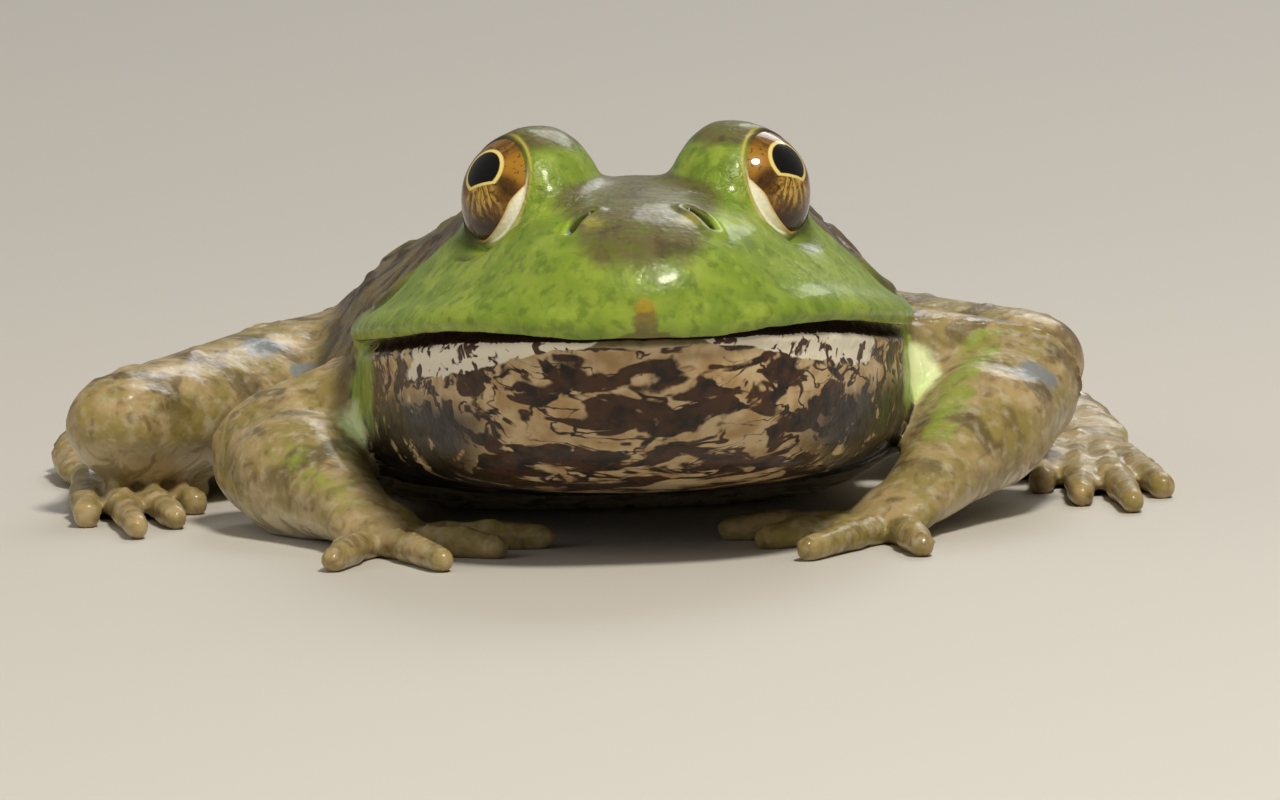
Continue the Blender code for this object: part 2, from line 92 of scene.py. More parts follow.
# How deep and wide the groove of the mouth is under the snout, and how much more it is at the sides.
GROOVE_DEPTH, GROOVE_DEPTH_GAIN = 0.7, 0.9
GROOVE_WIDTH, GROOVE_WIDTH_GAIN = 0.34, 0.55
UPPER_LIP_SWELL, LOWER_LIP_SWELL, LIP_OVERHANG = 0.38, 0.30, 0.4
NOSTRIL_SLIT = [(4.9, 12.4, 35.6), (5.9, 11.4, 35.3), (6.6, 10.2, 34.7), (7.0, 8.9, 33.8)]
NOSTRIL_DEPTH, NOSTRIL_WIDTH, NOSTRIL_RIM = 1.2, 0.34, 0.30
NOSTRIL_INWARDS = (0, 0.4, -0.8)
EAR_FOLD = [
    (15.5, 36.0, 35.0), (18.8, 40.5, 33.0), (22.0, 46.0, 29.6), (25.4, 50.5, 24.6), (27.6, 55.5, 18.0),
]
EAR_FOLD_HEIGHT, EAR_FOLD_WIDTH = 0.85, 1.25
EARDRUM_RADIUS, EARDRUM_GROOVE, EARDRUM_SWELL = 5.5, 0.3, 0.25
CHEEK_RIDGE = [
    (16.5, 33.0, 30.6), (20.2, 35.5, 28.6), (23.6, 38.5, 26.0), (26.4, 43.0, 22.8), (28.0, 46.5, 20.6),
]
CHEEK_RIDGE_HEIGHT, CHEEK_RIDGE_WIDTH = 0.32, 0.8
SHOULDER_LUMPS = {"left": (28.6, 48.0, 13.4), "right": (28.4, 47.8, 9.4)}
SHOULDER_LUMP_HEIGHT, SHOULDER_LUMP_WIDTH, SHOULDER_LUMP_SHAPE = 1.9, 2.0, (1, 1.3, 1.6)
SPINE_SHIFT = -13.0
SPINE_FURROW_DEPTH, SPINE_FURROW_WIDTH = 0.45, 2.2
HIP_SWELL, HIP_ASIDE, HIP_BEHIND = 0.35, 6.5, 93.0
WART_HEIGHT, WART_SPACING = 0.30, 2.6
# How far from the wrist or the heel the joints of the fingers and toes here, and how thick they are.
KNUCKLES = {"hand": (8.2, 12.6), "foot": (21.0, 30.0, 39.0, 47.0)}
KNUCKLE_SWELL = 0.24
LIMB_ABOVE = {"hand": "forearm", "foot": "ankle"}

# ---------------------------------------- places of the pattern
LIMBS = ("upper_arm", "forearm", "hand", "thigh", "shank", "ankle", "foot")
BARRED = ("upper_arm", "forearm", "thigh", "shank", "ankle")
# Where the green ends at one height of the cheek, and how much farther back for each step down.
GREEN_EDGE_DEPTH, GREEN_EDGE_HEIGHT, GREEN_EDGE_SLOPE = 32.0, 31.0, 15 / 10.5
# The heights over which the brown of the snout fades out and that of the domes fades in.
SNOUT_BROWN_ENDS, DOME_BROWN_STARTS = (37.8, 39.0), (40.2, 42.0)
SNOUT_SPOT_HEIGHT = 27.1
# The turn of the bars' wave for each millimetre along the bone.
LEG_BAR_PITCH = 0.62
# The middle of each patch, and its half sizes.
NOSTRIL_INNER = (4.7, 9.6, 34.8), (1.6, 2.2, 1.6)
NOSTRIL_OUTER = (7.9, 10.2, 34.6), (1.5, 2.4, 1.8)
BROW_WRINKLES = (9.5, 18.5, 37.6), (4.0, 4.5, 4.0)
SHOULDER_LUMP_COLOURED = (3.3, 4.8, 5.0)
BLUE_PATCHES = [
    ("left", (40.0, 46.5, 13.8), (4.4, 4.0, 2.2)),
    ("right", (38.2, 82.0, 15.5), (3.2, 4.0, 2.6)),
    ("right", (33.6, 79.5, 13.0), (2.0, 3.0, 1.6)),
]
# How strong the strip on each forearm is, and the path that it follows.
GREEN_STRIPS = {
    "left": (1.0, [(36.0, 50.0, 18.1), (33.0, 42.4, 14.4), (30.5, 35.5, 10.1)]),
    "right": (0.7, [(36.5, 41.0, 9.5), (33.5, 36.0, 7.0), (29.3, 29.5, 5.4)]),
}

# ---------------------------------------- colours
GREEN = (0.19, 0.29, 0.030)
YELLOW_GREEN = (0.30, 0.40, 0.05)
DEEP_GREEN = (0.10, 0.17, 0.020)
LIGHT_GREEN = (0.35, 0.46, 0.08)
CROWN = (0.135, 0.115, 0.040)
CROWN_OLIVE = (0.125, 0.135, 0.028)
OLIVE = (0.17, 0.135, 0.05)
BROWN = (0.15, 0.10, 0.045)
DARK_BROWN = (0.055, 0.036, 0.018)
BLOTCH = (0.032, 0.022, 0.012)
BELLY = (0.60, 0.52, 0.36)
BELLY_MARK = (0.22, 0.17, 0.10)
TAN = (0.43, 0.32, 0.15)
OLIVE_TAN = (0.29, 0.23, 0.07)
LIMB_PALE = (0.60, 0.53, 0.38)
BLUE_GREY = (0.20, 0.23, 0.25)
ORANGE_BROWN = (0.40, 0.25, 0.02)
BRIGHT_GREEN = (0.30, 0.46, 0.01)
# The throat's own cream, darkened to stand for the shade under the jaw.
SHADED_CREAM = (0.56, 0.42, 0.24)
CREAM_SHADE = (0.38, 0.24, 0.10)
NET_BROWN = (0.055, 0.020, 0.006)
NET_BLACK = (0.010, 0.005, 0.003)
LIP_WHITE = (0.78, 0.72, 0.58)
# Near black for the crease of the mouth and the painted shadow under the overhanging upper lip.
LIP_SHADOW = (0.020, 0.008, 0.003)
# Pale green of the shoulder lumps, pushed near white as painted light, as if in sun.
LUMP_GREEN_SUNLIT = (0.80, 0.88, 0.50)
EARDRUM = (0.14, 0.095, 0.035)
YELLOW_BROWN = (0.33, 0.30, 0.04)
# Near black for the painted shade inside the nostrils.
NOSTRIL_SHADE = (0.018, 0.010, 0.004)
RIM_YELLOW = (0.58, 0.50, 0.10)
FOLD_WHITE = (0.93, 0.90, 0.70)
FOLD_ORANGE = (0.62, 0.34, 0.03)
FOLD_OCHRE = (0.50, 0.33, 0.06)
IRIS_BROWN = (0.12, 0.050, 0.010)
IRIS_ORANGE = (0.27, 0.135, 0.016)
IRIS_BRIGHT = (0.45, 0.22, 0.02)
IRIS_DARK = (0.040, 0.018, 0.006)
IRIS_GOLD = (0.66, 0.44, 0.10)
RING_GOLD = (0.80, 0.66, 0.22)
PUPIL_BLACK = (0.002, 0.002, 0.002)
SKIN_WETNESS = {
    "Subsurface Weight": 0.1, "Subsurface Scale": 0.003,
    "Coat Weight": 0.22, "Coat Roughness": 0.12, "IOR": 1.35,
}
EYE_WETNESS = {"Coat Weight": 0.7, "Coat Roughness": 0.03, "IOR": 1.38, "Specular IOR Level": 0.15}

# ---------------------------------------- floor, light, camera, in metres
FLOOR_COLOUR = (0.60, 0.58, 0.545)
FLOOR_HALF_WIDTH = 3
SKY_COLOUR, SKY_STRENGTH = (1.0, 0.95, 0.86), 0.22
FROG_MIDDLE = (0, -0.04, 0.02)
CAMERA_ELEVATION, CAMERA_YAW, CAMERA_ROLL = 6.5, 1.4, 1.5
CAMERA_DISTANCE = 2.0
CAMERA_ASIDE, CAMERA_AIM_HEIGHT = -0.0008, 0.0181
VIEW_WIDTH = 0.128


# ---------------------------------------- places read off the frame

def node_box(node):
    low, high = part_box(node)
    return np.array(low) / MM, np.array(high) / MM


SNOUT_Y = node_box("head")[0][1]
EYE_CENTRES = {side: sum(node_box(f"eye_{side}")) / 2 for side in SIDES}
EYE_RADIUS = float(np.ptp(np.array(node_box("eye_left")), axis=0)[2]) / 2
EAR_CENTRES = {side: sum(node_box(f"eardrum_{side}")) / 2 for side in SIDES}
ALL_NODES = sorted(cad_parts)
FLESH = [name for name in ALL_NODES if not name.startswith("eye_")]


def kind_of(node):
    return node.rsplit("_", 1)[0] if node.endswith(("_left", "_right")) else node


def clay_blank():
    """Copies of all the solids, each swollen a little so that neighbours run together."""
    bm = bmesh.new()
    for name in ALL_NODES:
        part = bmesh.new()
        part.from_mesh(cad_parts[name].data)
        bmesh.ops.remove_doubles(part, verts=part.verts, dist=1e-6)
        part.normal_update()
        moves = [vert.normal * (SWELL * MM) for vert in part.verts]
        for vert, move in zip(part.verts, moves):
            vert.co += move
        mesh = bpy.data.meshes.new("swollen_part")
        part.to_mesh(mesh)
        part.free()
        bm.from_mesh(mesh)
        bpy.data.meshes.remove(mesh)
    mesh = bpy.data.meshes.new("skin")
    bm.to_mesh(mesh)
    bm.free()
    skin = bpy.data.objects.new("skin", mesh)
    bpy.context.scene.collection.objects.link(skin)
    return skin


def apply_modifiers(obj):
    graph = bpy.context.evaluated_depsgraph_get()
    result = bpy.data.meshes.new_from_object(obj.evaluated_get(graph))
    obj.modifiers.clear()
    old = obj.data
    obj.data = result
    bpy.data.meshes.remove(old)


def remesh(skin):
    modifier = skin.modifiers.new("voxels", "REMESH")
    modifier.mode = "VOXEL"
    modifier.voxel_size = VOXEL * MM
    apply_modifiers(skin)


class Clay:
    """The skin's points and edges as arrays, in millimetres."""

    def __init__(self, mesh):
        count = len(mesh.vertices)
        flat = np.empty(count * 3, np.float32)
        mesh.vertices.foreach_get("co", flat)
        self.mesh = mesh
        self.points = flat.reshape(-1, 3).astype(float) / MM
        ends = np.empty(len(mesh.edges) * 2, np.int32)
        mesh.edges.foreach_get("vertices", ends)
        self.tail, self.head = ends[0::2], ends[1::2]
        self.degree = np.bincount(ends, minlength=count).clip(1)

    def neighbour_mean(self, values):
        columns = values.reshape(len(values), -1)
        out = np.empty_like(columns)
        for k in range(columns.shape[1]):
            column = columns[:, k]
            total = np.bincount(self.tail, column[self.head], len(values))
            total += np.bincount(self.head, column[self.tail], len(values))
            out[:, k] = total / self.degree
        return out.reshape(values.shape)

    def smooth(self, values, rounds, weight=1.0):
        weight = np.broadcast_to(weight, len(values)).reshape(-1, *[1] * (values.ndim - 1))
        for _ in range(rounds):
            values = values + weight * (self.neighbour_mean(values) - values)
        return values

    def normals(self):
        self.store()
        flat = np.empty(len(self.points) * 3, np.float32)
        self.mesh.vertex_normals.foreach_get("vector", flat)
        return flat.reshape(-1, 3).astype(float)

    def store(self):
        self.mesh.vertices.foreach_set("co", (self.points * MM).astype(np.float32).ravel())
        self.mesh.update()

    def spacing(self):
        """The average length of the edges that meet at each point."""
        lengths = np.linalg.norm(self.points[self.tail] - self.points[self.head], axis=1)
        total = np.zeros(len(self.points))
        np.add.at(total, self.tail, lengths)
        np.add.at(total, self.head, lengths)
        return total / np.bincount(np.concatenate((self.tail, self.head)), minlength=len(self.points))


def tree_of(*nodes):
    """A search tree over some nodes' faces, and the node that each face belongs to."""
    corners, faces, owners = [], [], []
    for name in nodes:
        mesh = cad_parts[name].data
        first = len(corners)
        corners += [vert.co.copy() for vert in mesh.vertices]
        faces += [[first + i for i in face.vertices] for face in mesh.polygons]
        owners += [name] * len(mesh.polygons)
    return BVHTree.FromPolygons(corners, faces), owners


def nearest(points, *nodes):
    """For each point, the closest of the nodes and how far away it is."""
    tree, owners = tree_of(*nodes)
    found = [tree.find_nearest(Vector(point * MM)) for point in points]
    names = np.array([owners[hit[2]] for hit in found])
    return names, np.array([hit[3] for hit in found]) / MM


def refine(mesh, chosen):
    """Splits every edge whose two ends are chosen, which halves the grain there."""
    bm = bmesh.new()
    bm.from_mesh(mesh)
    bm.verts.ensure_lookup_table()
    edges = [edge for edge in bm.edges if chosen[edge.verts[0].index] and chosen[edge.verts[1].index]]
    bmesh.ops.subdivide_edges(bm, edges=edges, cuts=1, use_grid_fill=True)
    bm.to_mesh(mesh)
    bm.free()


# ---------------------------------------- measuring tools

def smooth_step(value, low, high):
    t = np.clip((value - low) / (high - low), 0.0, 1.0)
    return t * t * (3 - 2 * t)


def bell(distance, width):
    return np.exp(-((distance / width) ** 2))


def side_place(side, lateral, depth, height):
    """A point of the frog as its distance from the midline, behind the snout and above the floor."""
    return np.array((SIDES[side] * lateral, SNOUT_Y + depth, height))


def facing(side, turn, lift):
    """The way that looks turn degrees out from straight ahead, and lift degrees up."""
    turn, lift = math.radians(turn), math.radians(lift)
    level = math.cos(lift)
    return np.array((SIDES[side] * math.sin(turn) * level, -math.cos(turn) * level, math.sin(lift)))


def distance_to_path(points, path):
    """The distance to a path of straight pieces, and how far along it the nearest place is, from 0 to 1."""
    best = np.full(len(points), 1e9)
    along = np.zeros(len(points))
    for i, (start, end) in enumerate(zip(path, path[1:])):
        step = end - start
        t = np.clip((points - start) @ step / (step @ step), 0, 1)
        gap = np.linalg.norm(points - start - t[:, None] * step, axis=1)
        closer = gap < best
        best[closer] = gap[closer]
        along[closer] = ((i + t) / (len(path) - 1))[closer]
    return best, along


def eye_fields(points, side):
    """Each point's distance and way from the eye's centre, and how far outside lid and fold it is."""
    offset = points - EYE_CENTRES[side]
    radius = np.linalg.norm(offset, axis=1)
    way = offset / radius[:, None]

    def beyond(turn, lift, angle):
        return (np.arccos(np.clip(way @ facing(side, turn, lift), -1, 1)) - math.radians(angle)) * EYE_RADIUS

    lid = beyond(LID_TURN, LID_LIFT, LID_ANGLE)
    fold = beyond(FOLD_TURN, FOLD_LIFT, FOLD_ANGLE) - 1.5 * smooth_step(way[:, 2] * EYE_RADIUS, 0.3, 3.4)
    return radius, way, lid, fold


def shape_lids(clay):
    """Opens the lids round each eyeball, with a pale fold of skin lying on the ball at the front."""
    normals = clay.normals()
    for side in SIDES:
        radius, way, lid, fold = eye_fields(clay.points, side)
        axis = facing(side, LID_TURN, LID_LIFT)
        outward = smooth_step((normals * way).sum(1), 0.35, 0.75)
        outward = np.maximum(outward, 1 - smooth_step(radius, EYE_RADIUS + 0.4, EYE_RADIUS + 1.0))
        on_ball = EYE_RADIUS - EYE_RECESS + (EYE_RECESS + 0.12) * smooth_step(fold, -0.22, 0.22)
        forward = way @ facing(side, LID_TURN - 90, 5)
        thickness = LID_THIN + (LID_THICKNESS - LID_THIN) * smooth_step(forward, -0.25, 0.35)
        lowest = EYE_RADIUS + thickness * (1 - np.exp(-1.8 * lid.clip(0) / thickness))
        inside = np.maximum(EYE_RADIUS + (1.8 * lid).clip(-EYE_RECESS, 0), on_ball)
        highest = np.maximum(EYE_RADIUS + 0.1 + 2.2 * lid.clip(0), inside)
        sunk = np.where(lid > 0, np.maximum(np.minimum(radius, highest), lowest), inside)
        kept = np.maximum(radius, np.where(lid > 0, lowest, inside))
        wanted = sunk * outward + kept * (1 - outward)
        aside = way * (way @ axis)[:, None] - axis
        aside /= np.linalg.norm(aside, axis=1)[:, None] + 1e-6
        step = (1 - outward) * (0.1 - lid).clip(0, 4)
        near = radius < LID_ZONE
        moved = EYE_CENTRES[side] + way * wanted[:, None] + aside * step[:, None]
        clay.points[near] = moved[near]


# ---------------------------------------- mouth

def mouth_field(clay):
    """How far above the line of the mouth a point lies along the skin: positive on the upper lip."""
    points = clay.points
    field = np.full(len(points), 99.0)
    head = points[:, 1] < SNOUT_Y + MOUTH_REACH
    _, above = nearest(points[head], "lower_jaw")
    _, below = nearest(points[head], "head")
    field[head] = above - below - LIP_RAISE
    smoothed = clay.smooth(field.clip(-6, 6), 14, 0.7)
    return np.where(np.abs(field) < 4, smoothed, field)


def shape_mouth(clay, field):
    """A lip that overhangs a groove, narrow under the snout and deep at the sides."""
    x, depth = np.abs(clay.points[:, 0]), clay.points[:, 1] - SNOUT_Y
    sideways = smooth_step(x, 4, 20)
    fade = 1 - smooth_step(depth, MOUTH_CORNER_DEPTH - 3, MOUTH_CORNER_DEPTH + 1)
    width = GROOVE_WIDTH + GROOVE_WIDTH_GAIN * sideways
    depth_here = (GROOVE_DEPTH + GROOVE_DEPTH_GAIN * sideways) * fade
    move = -depth_here * bell(field + 0.95 * width, 1.15 * width)
    move += UPPER_LIP_SWELL * bell(field - 1.0, 0.8)
    move += LOWER_LIP_SWELL * bell(field + 2.6 * width + 0.7, 1.0) * fade
    clay.points += clay.normals() * move[:, None]
    clay.points[:, 2] -= LIP_OVERHANG * bell(field - 0.35, 0.45) * fade


# ---------------------------------------- nostrils, ears, knuckles, back

def path_on(side, places):
    return [side_place(side, *place) for place in places]


def shape_face(clay):
    move = np.zeros(len(clay.points))
    for side in SIDES:
        slit, along = distance_to_path(clay.points, path_on(side, NOSTRIL_SLIT))
        middle = np.sin(np.pi * (0.12 + 0.76 * along))
        move += NOSTRIL_RIM * bell(slit - 1.0, 0.5) - NOSTRIL_DEPTH * bell(slit, NOSTRIL_WIDTH) * middle
        fold, _ = distance_to_path(clay.points, path_on(side, EAR_FOLD))
        move += EAR_FOLD_HEIGHT * bell(fold, EAR_FOLD_WIDTH) - 0.2 * bell(fold - 2.4, 0.9)
        ridge, _ = distance_to_path(clay.points, path_on(side, CHEEK_RIDGE))
        move += CHEEK_RIDGE_HEIGHT * bell(ridge, CHEEK_RIDGE_WIDTH)
        ear = np.linalg.norm(clay.points - EAR_CENTRES[side], axis=1)
        move += EARDRUM_SWELL * bell(ear, 1.6) - EARDRUM_GROOVE * bell(ear - EARDRUM_RADIUS, 0.45)
        off_lump = (clay.points - side_place(side, *SHOULDER_LUMPS[side])) / SHOULDER_LUMP_SHAPE
        move += SHOULDER_LUMP_HEIGHT * bell(np.linalg.norm(off_lump, axis=1), SHOULDER_LUMP_WIDTH)
    clay.points += clay.normals() * move[:, None]


def shape_knuckles(clay):
    """Slightly thicker joints along the fingers and toes."""
    for node in FLESH:
        kind = kind_of(node)
        if kind in KNUCKLES:
            corners = np.array([vert.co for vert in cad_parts[node].data.vertices]) / MM
            _, gap = nearest(corners, node.replace(kind, LIMB_ABOVE[kind]))
            start = corners[gap < gap.min() + 1.5].mean(0)
            chosen = np.nonzero(clay.points[:, 2] < 7)[0]
            _, off_digit = nearest(clay.points[chosen], node)
            chosen = chosen[off_digit < 0.9]
            run = np.linalg.norm(clay.points[chosen] - start, axis=1)
            swelling = sum(bell(run - joint, 1.1 + 0.03 * joint) for joint in KNUCKLES[kind])
            clay.points[chosen] += clay.normals()[chosen] * (KNUCKLE_SWELL * swelling - 0.05)[:, None]


def rough_field(points, grain, seed):
    """Smooth pseudo-random values between about -1 and 1, with lumps about as wide as the grain."""
    offset = Vector((seed * 17.3, seed * 5.1, seed * 9.7))
    return np.array([noise.noise(Vector(point) / grain + offset) for point in points])


def shape_back(clay):
    """A shallow furrow along the spine, two low swellings over the hips, and a scatter of small warts."""
    points = clay.points
    normals = clay.normals()
    up = smooth_step(normals[:, 2], 0.0, 0.5)
    depth = points[:, 1] - SNOUT_Y
    behind = smooth_step(depth, 46, 58)
    spine = points[:, 0] - SPINE_SHIFT * smooth_step(depth, 40, 138)
    furrow = bell(spine, SPINE_FURROW_WIDTH) * behind * (1 - smooth_step(depth, 90, 110))
    hips = (bell(spine - HIP_ASIDE, 4) + bell(spine + HIP_ASIDE, 4)) * bell(depth - HIP_BEHIND, 9)
    lumps = rough_field(points, WART_SPACING, 1)
    warts = smooth_step(lumps, 0.18, 0.62) * behind
    move = up * (HIP_SWELL * hips - SPINE_FURROW_DEPTH * furrow + WART_HEIGHT * warts) + 0.07 * lumps
    clay.points = points + normals * move[:, None]


# ---------------------------------------- thinning the plain parts

def mark_zones(skin, clay, kinds):
    """A vertex group for each zone, which stays on the mesh while it is thinned."""
    points, depth = clay.points, clay.points[:, 1] - SNOUT_Y
    sockets = np.zeros(len(points), bool)
    for side in SIDES:
        radius, _, lid, fold = eye_fields(points, side)
        sockets |= (radius < EYE_RADIUS) & (lid < -0.7) & (fold < -0.6)
    head = np.isin(kinds, ("head", "lower_jaw"))
    zones = {
        "sockets": sockets,
        "body": np.isin(kinds, ("trunk", *BARRED)),
        "underside": (kinds == "lower_jaw") & (points[:, 2] < UNDERSIDE_HEIGHT) & ~sockets,
        "nape": head & (depth > NAPE_DEPTH) & (points[:, 2] >= UNDERSIDE_HEIGHT),
        "face": head & (depth <= NAPE_DEPTH) & (clay.spacing() > FINE_SPACING),
        "feet": kinds == "foot",
    }
    for name, chosen in zones.items():
        group = skin.vertex_groups.new(name=name)
        group.add([int(i) for i in np.nonzero(chosen)[0]], 1.0, "REPLACE")


def zone_size(mesh, group):
    """How many triangles have all their corners in the group, and their area in square millimetres."""
    member = np.zeros(len(mesh.vertices), bool)
    for vert in mesh.vertices:
        member[vert.index] = any(g.group == group.index and g.weight > 0.5 for g in vert.groups)
    mesh.calc_loop_triangles()
    corners = np.empty(len(mesh.loop_triangles) * 3, np.int32)
    mesh.loop_triangles.foreach_get("vertices", corners)
    areas = np.empty(len(mesh.loop_triangles), np.float32)
    mesh.loop_triangles.foreach_get("area", areas)
    inside = member[corners.reshape(-1, 3)].all(1)
    return inside.sum(), areas[inside].sum() / MM**2, len(areas)


def thin_zone(skin, name):
    group = skin.vertex_groups[name]
    count, area, total = zone_size(skin.data, group)
    wanted = min(count, area / ZONE_GRAIN[name])
    modifier = skin.modifiers.new("thin", "DECIMATE")
    modifier.ratio = (total - count + wanted) / total
    modifier.vertex_group = name
    apply_modifiers(skin)


# ---------------------------------------- where each colour lies

def limb_run(points, owner):
    """How far along its own bone each point of a limb lies, in millimetres."""
    along = np.zeros(len(points))
    for name in FLESH:
        if kind_of(name) in LIMBS:
            chosen = owner == name
            corners = np.array([vert.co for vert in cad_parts[name].data.vertices]) / MM
            centre = corners.mean(0)
            axis = np.linalg.svd(corners - centre, full_matrices=False)[2][0]
            along[chosen] = (points[chosen] - centre) @ (axis * np.sign(axis[1] + 1e-9))
    return along


def blob(points, side, place, size):
    """Full inside an egg of the given half sizes, fading out at its edge."""
    return 1 - smooth_step(np.linalg.norm((points - side_place(side, *place)) / size, axis=1), 0.1, 1.5)


class Survey:
    """What the colours need to know of each point: its place, the way it faces, its solid and its limb."""

    def __init__(self, clay, field):
        self.clay, self.field, self.points = clay, field, clay.points
        self.owner, _ = nearest(clay.points, *ALL_NODES)
        self.kinds = np.array([kind_of(name) for name in self.owner])
        self.across = np.abs(clay.points[:, 0])
        self.depth = clay.points[:, 1] - SNOUT_Y
        self.z = clay.points[:, 2]
        self.up = clay.normals()[:, 2]
        self.limb = self.part(*LIMBS)

    def part(self, *names, rounds=20):
        return self.clay.smooth(np.isin(self.kinds, names).astype(float), rounds, 0.7)


def green_and_crown(here):
    """The green of the upper jaw, and the brown on top of the snout and on the domes over the eyes."""
    edge = GREEN_EDGE_DEPTH + (GREEN_EDGE_HEIGHT - here.z.clip(0, 32)) * GREEN_EDGE_SLOPE
    ahead = 1 - smooth_step(here.depth - edge, -1.2, 1.2)
    green = ahead * smooth_step(here.field, -0.3, 0.1) * (here.field < 90)
    middle = 1 - smooth_step(here.across, 4.0 + 0.12 * here.depth, 7.0 + 0.2 * here.depth)
    crown = smooth_step(here.up, 0.45, 0.85) * middle * (1 - smooth_step(here.z, *SNOUT_BROWN_ENDS))
    domes = smooth_step(here.z, *DOME_BROWN_STARTS) * smooth_step(here.depth, 16, 20) * (here.depth < 45)
    return {"green": green * (1 - smooth_step(here.limb, 0.3, 0.6)), "crown": np.maximum(crown, domes)}


def mouth_regions(here):
    """The mouth's dark crease with painted shadow under the upper lip, the pale lower lip, the netted throat
    with painted shade on its lower sides, and the green corners of the jaw.
    """
    field, across, depth = here.field, here.across, here.depth
    narrowing = 1 - 0.85 * smooth_step(depth, MOUTH_CORNER_DEPTH - 11, MOUTH_CORNER_DEPTH)
    width = (0.6 + 1.5 * smooth_step(across, 4, 20)) * narrowing
    # The mouth line: a dark crease, widened into painted shadow under the overhanging upper lip.
    line = smooth_step(field, -width - 0.5, -width) * (1 - smooth_step(field, 0.0, 0.3))
    line *= 1 - smooth_step(depth, MOUTH_CORNER_DEPTH - 3.5, MOUTH_CORNER_DEPTH + 0.5)
    smudge = 0.8 * bell(across, 2.0) * bell(field - 1.3, 1.3)
    below = -field - width
    thick = (0.9 + 2.5 * smooth_step(across, 6, 20)) * smooth_step(across, 2, 9)
    under_lip = smooth_step(below, -0.2, 0.3) * (1 - smooth_step(below, thick - 0.4, thick + 0.9))
    face = here.part("head", "eardrum", "eye", rounds=6)
    jaw = here.part("lower_jaw", rounds=8)
    corner = smooth_step(across, 25.4, 28.0) * smooth_step(depth, 27, 41) * smooth_step(here.z, 8, 14)
    return {
        "mouth_line": line * (1 - smooth_step(here.limb, 0.2, 0.5)),
        "lip_centre": np.maximum(bell(across, 4.2) * bell(field, 0.9), smudge),
        "lip_pale": under_lip * smooth_step(across, 2.5, 8.5) * (1 - smooth_step(across, 21, 26)),
        "throat": jaw * (field < 0.3),
        # Painted shade on the lower sides of the throat, under the jaw and beside the arms.
        "throat_dark": smooth_step(across, 13, 20) * (1 - smooth_step(here.z, 14.5, 18.0)),
        "jaw_green": corner * np.maximum(jaw, face) * (field < 0.5),
    }


def eye_regions(points, side):
    """The lid's yellow and dark rims, and the pale fold with its orange edge and its darker foot."""
    radius, _, lid, fold = eye_fields(points, side)
    near = radius < LID_COLOUR_ZONE
    forward = (points - EYE_CENTRES[side]) @ facing(side, LID_TURN - 90, 5)
    at_front = smooth_step(forward, -0.5, 3.0)
    pale = near * (1 - smooth_step(lid, 0.18, 0.36))
    pale *= smooth_step(radius, EYE_RADIUS - 0.42, EYE_RADIUS - 0.1)
    return {
        "lid_rim": near * bell(lid - 0.45, 0.15) * at_front,
        "lid_dark": near * bell(lid - 0.1, 0.55) * (1 - at_front),
        "pale_fold": pale * smooth_step(fold, -0.5, 0.1) * smooth_step(forward, 0.5, 2.0),
        "fold_edge": near * bell(fold - 0.12, 0.22) * (lid < 0.1),
        "fold_foot": near * smooth_step(EYE_CENTRES[side][2] - points[:, 2], 3.0, 5.0),
    }


def face_regions(points, side):
    """The nostril, painted dark as shade in its hole, and the skin beside it, the ridge on the cheek, the
    eardrum, a painted highlight on its fold with painted shade under it, and small marks.
    """
    slit_path = path_on(side, NOSTRIL_SLIT)
    slit, _ = distance_to_path(points, slit_path)
    deep, _ = distance_to_path(points, [place + NOSTRIL_INWARDS for place in slit_path])
    ridge, _ = distance_to_path(points, path_on(side, CHEEK_RIDGE))
    fold, _ = distance_to_path(points, path_on(side, EAR_FOLD))
    ear = np.linalg.norm(points - EAR_CENTRES[side], axis=1)
    return {
        # The nostril's hole is painted near black as shade in the recess.
        "nostril": (points[:, 0] * SIDES[side] > 0) * (1 - smooth_step(np.minimum(slit, deep), 0.3, 0.7)),
        "nostril_inner": blob(points, side, *NOSTRIL_INNER),
        "nostril_outer": blob(points, side, *NOSTRIL_OUTER),
        "cheek_ridge": bell(ridge, 0.75),
        "eardrum": 1 - smooth_step(ear, EARDRUM_RADIUS - 0.6, EARDRUM_RADIUS - 0.1),
        "eardrum_ring": bell(ear - EARDRUM_RADIUS, 0.5),
        # A painted highlight on the crest of the fold over the eardrum, and painted shade under it.
        "ear_fold": bell(fold, 1.1),
        "ear_fold_under": bell(fold - 1.9, 1.0),
        "pale_lump": blob(points, side, SHOULDER_LUMPS[side], SHOULDER_LUMP_COLOURED),
        "wrinkles": blob(points, side, *BROW_WRINKLES),
    }


def limb_regions(here):
    """The limbs, their grey-blue patches, green strips and dark bars, and the pale underside."""
    blue = np.max([blob(here.points, *patch) for patch in BLUE_PATCHES], axis=0)
    strip = np.zeros(len(here.points))
    for side, (strength, places) in GREEN_STRIPS.items():
        gap, _ = distance_to_path(here.points, path_on(side, places))
        strip = np.maximum(strip, strength * (1 - smooth_step(gap, 0.5, 4.0)) * (here.limb > 0.5))
    barred = [here.owner == name for name in FLESH if kind_of(name) in BARRED]
    share = np.max([here.clay.smooth(chosen.astype(float), 10, 0.7) for chosen in barred], axis=0)
    return {
        "limb": here.limb,
        "belly": smooth_step(-here.up, 0.1, 0.75) * (1 - here.part("hand", "foot", rounds=16)),
        "blue_patch": blue,
        "green_patch": strip,
        "run": limb_run(here.points, here.owner),
        "bars": smooth_step(share, 0.8, 0.99) * smooth_step(here.up, -0.2, 0.5),
    }


